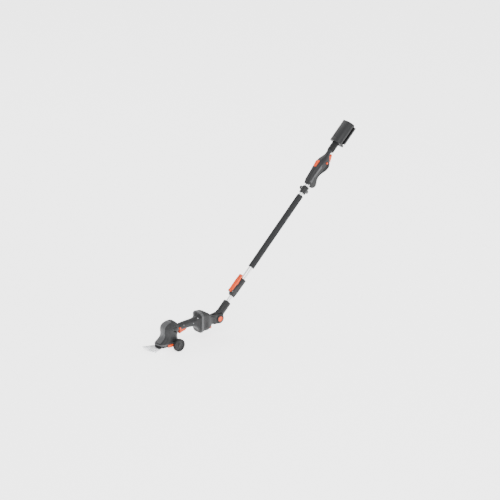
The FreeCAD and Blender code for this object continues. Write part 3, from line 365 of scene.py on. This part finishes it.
brushedSettings = {
    "tubeAluminium": {"dark": (0.80, 0.81, 0.83, 1), "light": (0.92, 0.925, 0.93, 1),
                      "roughness": (0.26, 0.36), "metal": 0.75, "lines": 380.0, "bump": 0.25,
                      "turn": tuple(poleTurn), "stretch": (1.0, 1.0, 40.0)},
    "bladeSteel": {"dark": (0.50, 0.51, 0.53, 1), "light": (0.78, 0.79, 0.80, 1),
                   "roughness": (0.22, 0.36), "metal": 1.0, "lines": 420.0, "bump": 0.3,
                   "turn": (0.0, 0.0, 0.0), "stretch": (25.0, 1.0, 1.0)},
    "darkSteel": {"dark": (0.16, 0.16, 0.165, 1), "light": (0.26, 0.26, 0.27, 1),
                  "roughness": (0.3, 0.45), "metal": 1.0, "lines": 600.0, "bump": 0.2,
                  "turn": (0.0, 0.0, 0.0), "stretch": (1.0, 8.0, 1.0)},
    "motorCan": {"dark": (0.40, 0.41, 0.43, 1), "light": (0.56, 0.57, 0.59, 1),
                 "roughness": (0.28, 0.4), "metal": 1.0, "lines": 500.0, "bump": 0.2,
                 "turn": (0.0, 0.0, 0.0), "stretch": (8.0, 8.0, 1.0)},
    "contactMetal": {"dark": (0.62, 0.60, 0.52, 1), "light": (0.85, 0.83, 0.74, 1),
                     "roughness": (0.2, 0.32), "metal": 1.0, "lines": 900.0, "bump": 0.2,
                     "turn": tuple(poleTurn), "stretch": (1.0, 1.0, 12.0)},
}
looks = {name: mouldedLook(name, settings) for name, settings in mouldedSettings.items()}
for name, settings in brushedSettings.items():
    looks[name] = brushedLook(name, settings)
slotLooks = {
    "charcoal_plastic": "charcoalPlastic", "grey_plastic": "greyPlastic",
    "orange_plastic": "orangePlastic", "soft_grip": "softGrip", "foam": "foamGrip",
    "tyre_rubber": "tyreRubber", "tube_aluminium": "tubeAluminium", "blade_steel": "bladeSteel",
    "dark_steel": "darkSteel", "motor_can": "motorCan", "gear_steel": "darkSteel",
    "contact_metal": "contactMetal", "switch_black": "switchBlack"}
for node, obj in frame["nodes"].items():
    obj.data.materials.clear()
    obj.data.materials.append(looks[slotLooks[slotOf[node]]])
print("materials ready")


# pieces whose edges are rounded from their own solid
softenSettings = {
    "hinge_fork": 0.002, "pole_knuckle": 0.0012, "clamp_lever": 0.0022, "strap_collar": 0.0016,
    "thumb_button": 0.0025, "main_trigger": 0.0026, "side_lock_button": 0.001,
    "lower_trigger": 0.0024, "lower_lock_button": 0.0012, "adapter_latch": 0.0022,
    "release_button_left": 0.001, "release_button_right": 0.001, "foot_rim": 0.0016,
    "dock_core": 0.0014, "dock_rails": 0.0016, "handle_grip": 0.0008, "foam_grip": 0.0012,
    "wheel_carrier": 0.0012, "cassette_base": 0.001, "hinge_bolt": 0.0008,
    "lower_blade": 0.0003, "upper_blade": 0.0003, "cassette_plate": 0.0003,
    "nose_cover": 0.0006, "clamp_body": 0.001,
}


def roundedPiece(node, width):
    piece = copyOf(node, node + "_rounded")
    soften(piece, width)
    return finishPiece(piece, bodyOf[node], slotLooks[slotOf[node]], node)


for node, width in softenSettings.items():
    roundedPiece(node, width)
print("rounded pieces ready")


# wheels
wheelSettings = {"tyreRadius": 0.0322, "tyreWidth": 0.0136, "lugs": 30, "lugDepth": 0.0007,
                 "lugSize": (0.0075, 0.0016), "rimRadius": 0.0249, "rimDepth": 0.0114,
                 "axleRadius": 0.00345, "holes": 6, "holeRadius": 0.0022, "holeRing": 0.0185,
                 "tyreSteps": [(0.0022, 0.0), (0.0012, -0.0007), (0.0012, 0.0007), (0.0024, 0.0)],
                 "rimSteps": [(0.0018, 0.0), (0.0012, -0.0022), (0.0042, 0.0), (0.0008, 0.0012),
                              (0.0022, 0.0), (0.0008, -0.0012), (0.0026, 0.0),
                              (0.0010, 0.0020)]}


def makeWheel(side):
    s = wheelSettings
    middle = boxMiddle("wheel_" + side)
    tyre = steppedDrum("tyre_%s_moulded" % side, middle, s["tyreRadius"], s["tyreWidth"], across,
                       s["tyreSteps"])
    carve(tyre, drum("bore", middle, s["rimRadius"], 0.04, across, 96))
    soften(tyre, 0.0009, 3)
    for number in range(s["lugs"]):
        turn = 2 * math.pi * number / s["lugs"]
        spot = middle + Vector((math.cos(turn), 0, math.sin(turn))) * s["tyreRadius"]
        carve(tyre, block("groove", spot, (2 * s["lugDepth"], *s["lugSize"]), (0, -turn, 0)))
    finishPiece(tyre, "wheel_" + side, "tyreRubber", "tyre_" + side)
    rim = steppedDrum("wheel_%s_moulded" % side, middle, s["rimRadius"], s["rimDepth"], across,
                      s["rimSteps"])
    carve(rim, drum("bore", middle, s["axleRadius"], 0.05, across, 48))
    for number in range(s["holes"]):
        turn = 2 * math.pi * (number + 0.5) / s["holes"]
        spot = middle + Vector((math.cos(turn), 0, math.sin(turn))) * s["holeRing"]
        carve(rim, drum("hole", spot, s["holeRadius"], 0.05, across, 32))
    soften(rim, 0.0005, 2)
    finishPiece(rim, "wheel_" + side, "charcoalPlastic", "wheel_" + side)


for side in ("left", "right"):
    makeWheel(side)
print("wheels ready")


# shear head
headSettings = {"ventSize": (0.0085, 0.03, 0.0032), "ventTop": 0.124,
                "ventStart": 0.006, "ventStep": (0.0095, 0.004), "slotStart": 0.012,
                "slotSize": (0.024, 0.03, 0.0045), "slotTop": 0.103, "tilt": 0.5,
                "cutSide": 0.04, "beltUp": 0.0085, "beltHeight": 0.007,
                "skirtGrow": (1.018, 1.03, 1.0), "buttonGap": 0.003}


def makeHeadSide(side, way):
    s = headSettings
    piece = copyOf("head_shell_" + side, "head_shell_%s_vented" % side)
    for number in range(3):
        place = Vector((wheelX - s["ventStart"] - number * s["ventStep"][0], way * s["cutSide"],
                        s["ventTop"] - s["ventStep"][1] * number))
        carve(piece, block("vent", place, s["ventSize"], (0, s["tilt"], 0)))
    place = Vector((wheelX - s["slotStart"], way * s["cutSide"], s["slotTop"]))
    carve(piece, block("vent", place, s["slotSize"], (0, s["tilt"], 0)))
    soften(piece, 0.0006, 2)
    finishPiece(piece, "shear", "charcoalPlastic", "head_shell_" + side)
    skirt = copyOf("head_shell_" + side, "head_skirt_" + side)
    low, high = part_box("head_shell_" + side)
    middle = Vector(((low[0] + high[0]) / 2, 0, low[2] + s["beltUp"]))
    carve(skirt, block("belt", middle, (0.3, 0.2, s["beltHeight"])), "INTERSECT")
    editAll(skirt)
    bpy.ops.transform.resize(value=s["skirtGrow"], center_override=middle)
    leaveEdit()
    low, high = (Vector(corner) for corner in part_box("release_button_" + side))
    room = (high.x - low.x + s["buttonGap"], 0.02, high.z - low.z + s["buttonGap"])
    carve(skirt, block("button_room", (low + high) / 2, room))    # the button slides in here
    soften(skirt, 0.0007, 2)
    finishPiece(skirt, "shear", "greyPlastic")


for side, way in (("left", -1), ("right", 1)):
    makeHeadSide(side, way)
print("head ready")


# handle, foot and adapter
def makeHousing(node, width, cutters=()):
    piece = copyOf(node, node + "_finished")
    for cutter in cutters:
        carve(piece, cutter)
    soften(piece, width, 2)
    return finishPiece(piece, bodyOf[node], "charcoalPlastic", node)


for node in ("handle_shell_left", "handle_shell_right"):
    makeHousing(node, 0.0006)
adapterSettings = {"grooves": 3, "start": 0.012, "step": 0.007, "side": 0.0365,
                   "size": (0.0022, 0.004, 0.05)}
adapterLow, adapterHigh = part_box("adapter_shell_left")
for side, way in (("left", -1), ("right", 1)):
    s = adapterSettings
    grooves = [block("groove", (adapterLow[0] + s["start"] + s["step"] * number,
                                way * s["side"], (adapterLow[2] + adapterHigh[2]) / 2), s["size"])
               for number in range(s["grooves"])]
    makeHousing("adapter_shell_" + side, 0.0008, grooves)
print("handle ready")


# tilt button
buttonSettings = {"radius": 0.0128, "skirt": 0.0085, "stemRadius": 0.008, "stemLap": 0.001,
                  "dish": [(0.0014, 0.0), (0.0010, -0.0010), (0.0040, -0.0008)],
                  "bezelRadius": 0.0186, "bezelBore": 0.0133, "bezelIn": 0.0027,
                  "bezelDepth": 0.0048, "bezelStep": 0.0012}


def makeTiltButton():
    low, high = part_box("hinge_button")
    s = buttonSettings
    middle = Vector((hingeMiddle.x, low[1] + s["skirt"] / 2, hingeMiddle.z))
    button = steppedDrum("hinge_button_dished", middle, s["radius"], s["skirt"],
                         across, s["dish"])
    soften(button, 0.0008, 3)
    stem = drum("stem", (hingeMiddle.x, (low[1] + s["skirt"] + high[1] - s["stemLap"]) / 2,
                         hingeMiddle.z), s["stemRadius"],
                high[1] - low[1] - s["skirt"] + s["stemLap"], across)
    carve(button, stem, "UNION")
    soften(button, 0)
    finishPiece(button, "hinge_button", "orangePlastic", "hinge_button")
    ring = steppedDrum("hinge_bezel", (hingeMiddle.x, low[1] + s["bezelIn"], hingeMiddle.z),
                       s["bezelRadius"], s["bezelDepth"], across, [(s["bezelStep"], 0.0)])
    carve(ring, drum("bore", (hingeMiddle.x, low[1], hingeMiddle.z), s["bezelBore"], 0.05,
                     across, 96))
    soften(ring, 0.0008, 3)
    finishPiece(ring, "shear", "charcoalPlastic")


makeTiltButton()
print("hinge ready")


# snap lever
leverSettings = {"ridges": 6, "start": 0.196, "step": 0.0075, "under": -0.0312,
                 "size": (0.0022, 0.017, 0.0028), "bossPlace": (-0.0235, 0.0125, 0.148),
                 "bossRadius": 0.0065, "bossDepth": 0.0024,
                 "bossSteps": [(0.001, 0), (0.0015, -0.0006)]}


def makeLeverDetails():
    s = leverSettings
    for number in range(s["ridges"]):
        ridge = block("lever_ridge_%d" % (number + 1),
                      onPole(s["under"], 0, s["start"] + number * s["step"]), s["size"], poleTurn)
        soften(ridge, 0.0009, 3)
        finishPiece(ridge, "clamp_lever", "orangePlastic")
    under, out, up = s["bossPlace"]
    for side, way in (("left", -1), ("right", 1)):
        boss = steppedDrum("lever_boss_" + side, onPole(under, way * out, up), s["bossRadius"],
                           s["bossDepth"], across, s["bossSteps"])
        soften(boss, 0.0004, 2)
        finishPiece(boss, "upper_pole", "charcoalPlastic")


makeLeverDetails()
print("snap lever ready")


# control housing
controlSettings = {
    "panel": {"place": (0.021, 0.918), "size": (0.024, 0.088), "thick": 0.0006},
    "flank": {"place": (-0.012, 0.885), "size": (0.011, 0.105), "thick": 0.0005},
}


def flankPiece(name, side, way, settings, look):
    # a thin panel grown from the housing's own outer surface
    piece = copyOf("control_shell_" + side, name + "_" + side)
    under, up = settings["place"]
    depth, length = settings["size"]
    for face in piece.data.polygons:
        spot = face.center - poleFoot
        inRoom = abs(spot.dot(poleUnder) - under) < depth and abs(spot.dot(poleWay) - up) < length
        face.select = face.normal.y * way < 0.35 or not inRoom
    pickOnly(piece)
    bpy.ops.object.mode_set(mode="EDIT")
    bpy.ops.mesh.select_mode(type="FACE")
    bpy.ops.mesh.delete(type="FACE")
    for axis, reach in ((poleUnder, depth / 2), (poleWay, length / 2)):
        for sign in (1, -1):
            bpy.ops.mesh.select_all(action="SELECT")
            bpy.ops.mesh.bisect(plane_co=onPole(under, 0, up) + axis * sign * reach,
                                plane_no=axis * sign, clear_outer=True)
    leaveEdit()
    useModifier(piece, "SOLIDIFY", thickness=settings["thick"], offset=1.0)
    soften(piece, 0)
    finishPiece(piece, "upper_pole", look)


for side, way in (("left", -1), ("right", 1)):
    makeHousing("control_shell_" + side, 0)
    flankPiece("control_panel", side, way, controlSettings["panel"], "softGrip")
    flankPiece("control_flank", side, way, controlSettings["flank"], "greyPlastic")
makeHousing("grip_spine", 0.0005)


gripSettings = {"rings": 5, "under": -0.0035, "start": 1.0345, "step": 0.0075,
                "radius": 0.0162, "rib": 0.0011}


def makeGripRibs():
    # raised bands wound round the thin rear handle
    s = gripSettings
    for number in range(s["rings"]):
        place = onPole(s["under"], 0, s["start"] + number * s["step"])
        bpy.ops.object.select_all(action="DESELECT")
        bpy.ops.mesh.primitive_torus_add(location=place, rotation=poleTurn, major_segments=72,
                                         minor_segments=10, major_radius=s["radius"],
                                         minor_radius=s["rib"])
        band = bpy.context.object
        band.name = "grip_band_%d" % (number + 1)
        settle(band)
        soften(band, 0)
        finishPiece(band, "upper_pole", "softGrip")


makeGripRibs()
print("control housing ready")


# battery dock
dockSettings = {"seamUp": 1.1, "seamUnder": -0.02, "seamSize": (0.06, 0.1, 0.0014),
                "coreUnder": -0.012, "coreSize": (0.0305, 0.0725, 0.01),
                "tabPlace": (-0.0265, 1.185), "tabSize": (0.003, 0.022, 0.012)}


def makeDock():
    s = dockSettings
    cover = copyOf("dock_cover", "dock_cover_rounded")
    seam = block("seam", onPole(s["seamUnder"], 0, s["seamUp"]), s["seamSize"], poleTurn)
    carve(seam, block("core", onPole(s["coreUnder"], 0, s["seamUp"]), s["coreSize"], poleTurn))
    carve(cover, seam)
    soften(cover, 0.0075, 5)
    finishPiece(cover, "upper_pole", "charcoalPlastic", "dock_cover")
    under, up = s["tabPlace"]
    tab = block("dock_end_tab", onPole(under, 0, up), s["tabSize"], poleTurn)
    soften(tab, 0.001, 3)
    finishPiece(tab, "upper_pole", "orangePlastic")


makeDock()
print("dock ready")


# floor, lights and camera
stageSettings = {"floorSize": 30, "floorColour": (0.93, 0.93, 0.93, 1), "floorRoughness": 0.9,
                 "floorGlow": 2.2, "worldStrength": 1.3, "aim": (0, 0, 0.4),
                 "lights": (("keyLight", (-2.5, -3.0, 4.0), 3.0, 160),
                            ("fillLight", (3.0, -2.0, 3.0), 3.0, 60),
                            ("backLight", (1.0, 3.5, 3.5), 2.5, 70))}


def makeStage():
    s = stageSettings
    bpy.ops.object.select_all(action="DESELECT")
    bpy.ops.mesh.primitive_plane_add(size=s["floorSize"], location=(0, 0, 0))
    floor = bpy.context.object
    floor.name = "floor"
    look, tree, shader, place = newLook("paleFloor")
    shader.inputs["Base Color"].default_value = s["floorColour"]
    shader.inputs["Roughness"].default_value = s["floorRoughness"]
    shader.inputs["Emission Color"].default_value = (1, 1, 1, 1)
    shader.inputs["Emission Strength"].default_value = s["floorGlow"]
    floor.data.materials.append(look)
    world = bpy.data.worlds.new("studio")
    bpy.context.scene.world = world
    world.use_nodes = True
    background = world.node_tree.nodes["Background"]
    background.inputs["Color"].default_value = (1, 1, 1, 1)
    background.inputs["Strength"].default_value = s["worldStrength"]
    for name, place, size, power in s["lights"]:
        light = bpy.data.objects.new(name, bpy.data.lights.new(name, "AREA"))
        bpy.context.collection.objects.link(light)
        light.data.size = size
        light.data.energy = power
        light.location = place
        aim = Vector(s["aim"]) - Vector(place)
        light.rotation_euler = aim.to_track_quat("-Z", "Y").to_euler()


cameraSettings = {"aim": (-0.0013, 0.0, 0.40), "along": (0.638, 0.77), "tilt": 0.358,
                  "distance": 25.0, "lens": 360.0, "sensor": 36, "clipEnd": 100}


def makeCamera():
    s = cameraSettings
    level = math.sqrt(1 - s["tilt"] ** 2)
    sight = Vector((s["along"][0] * level, s["along"][1] * level, -s["tilt"])).normalized()
    camera = bpy.data.objects.new("camera", bpy.data.cameras.new("camera"))
    bpy.context.collection.objects.link(camera)
    camera.location = Vector(s["aim"]) - sight * s["distance"]
    camera.rotation_euler = sight.to_track_quat("-Z", "Y").to_euler()
    camera.data.lens = s["lens"]
    camera.data.sensor_width = s["sensor"]
    camera.data.clip_end = s["clipEnd"]
    bpy.context.scene.camera = camera


makeStage()
makeCamera()
print("stage ready")
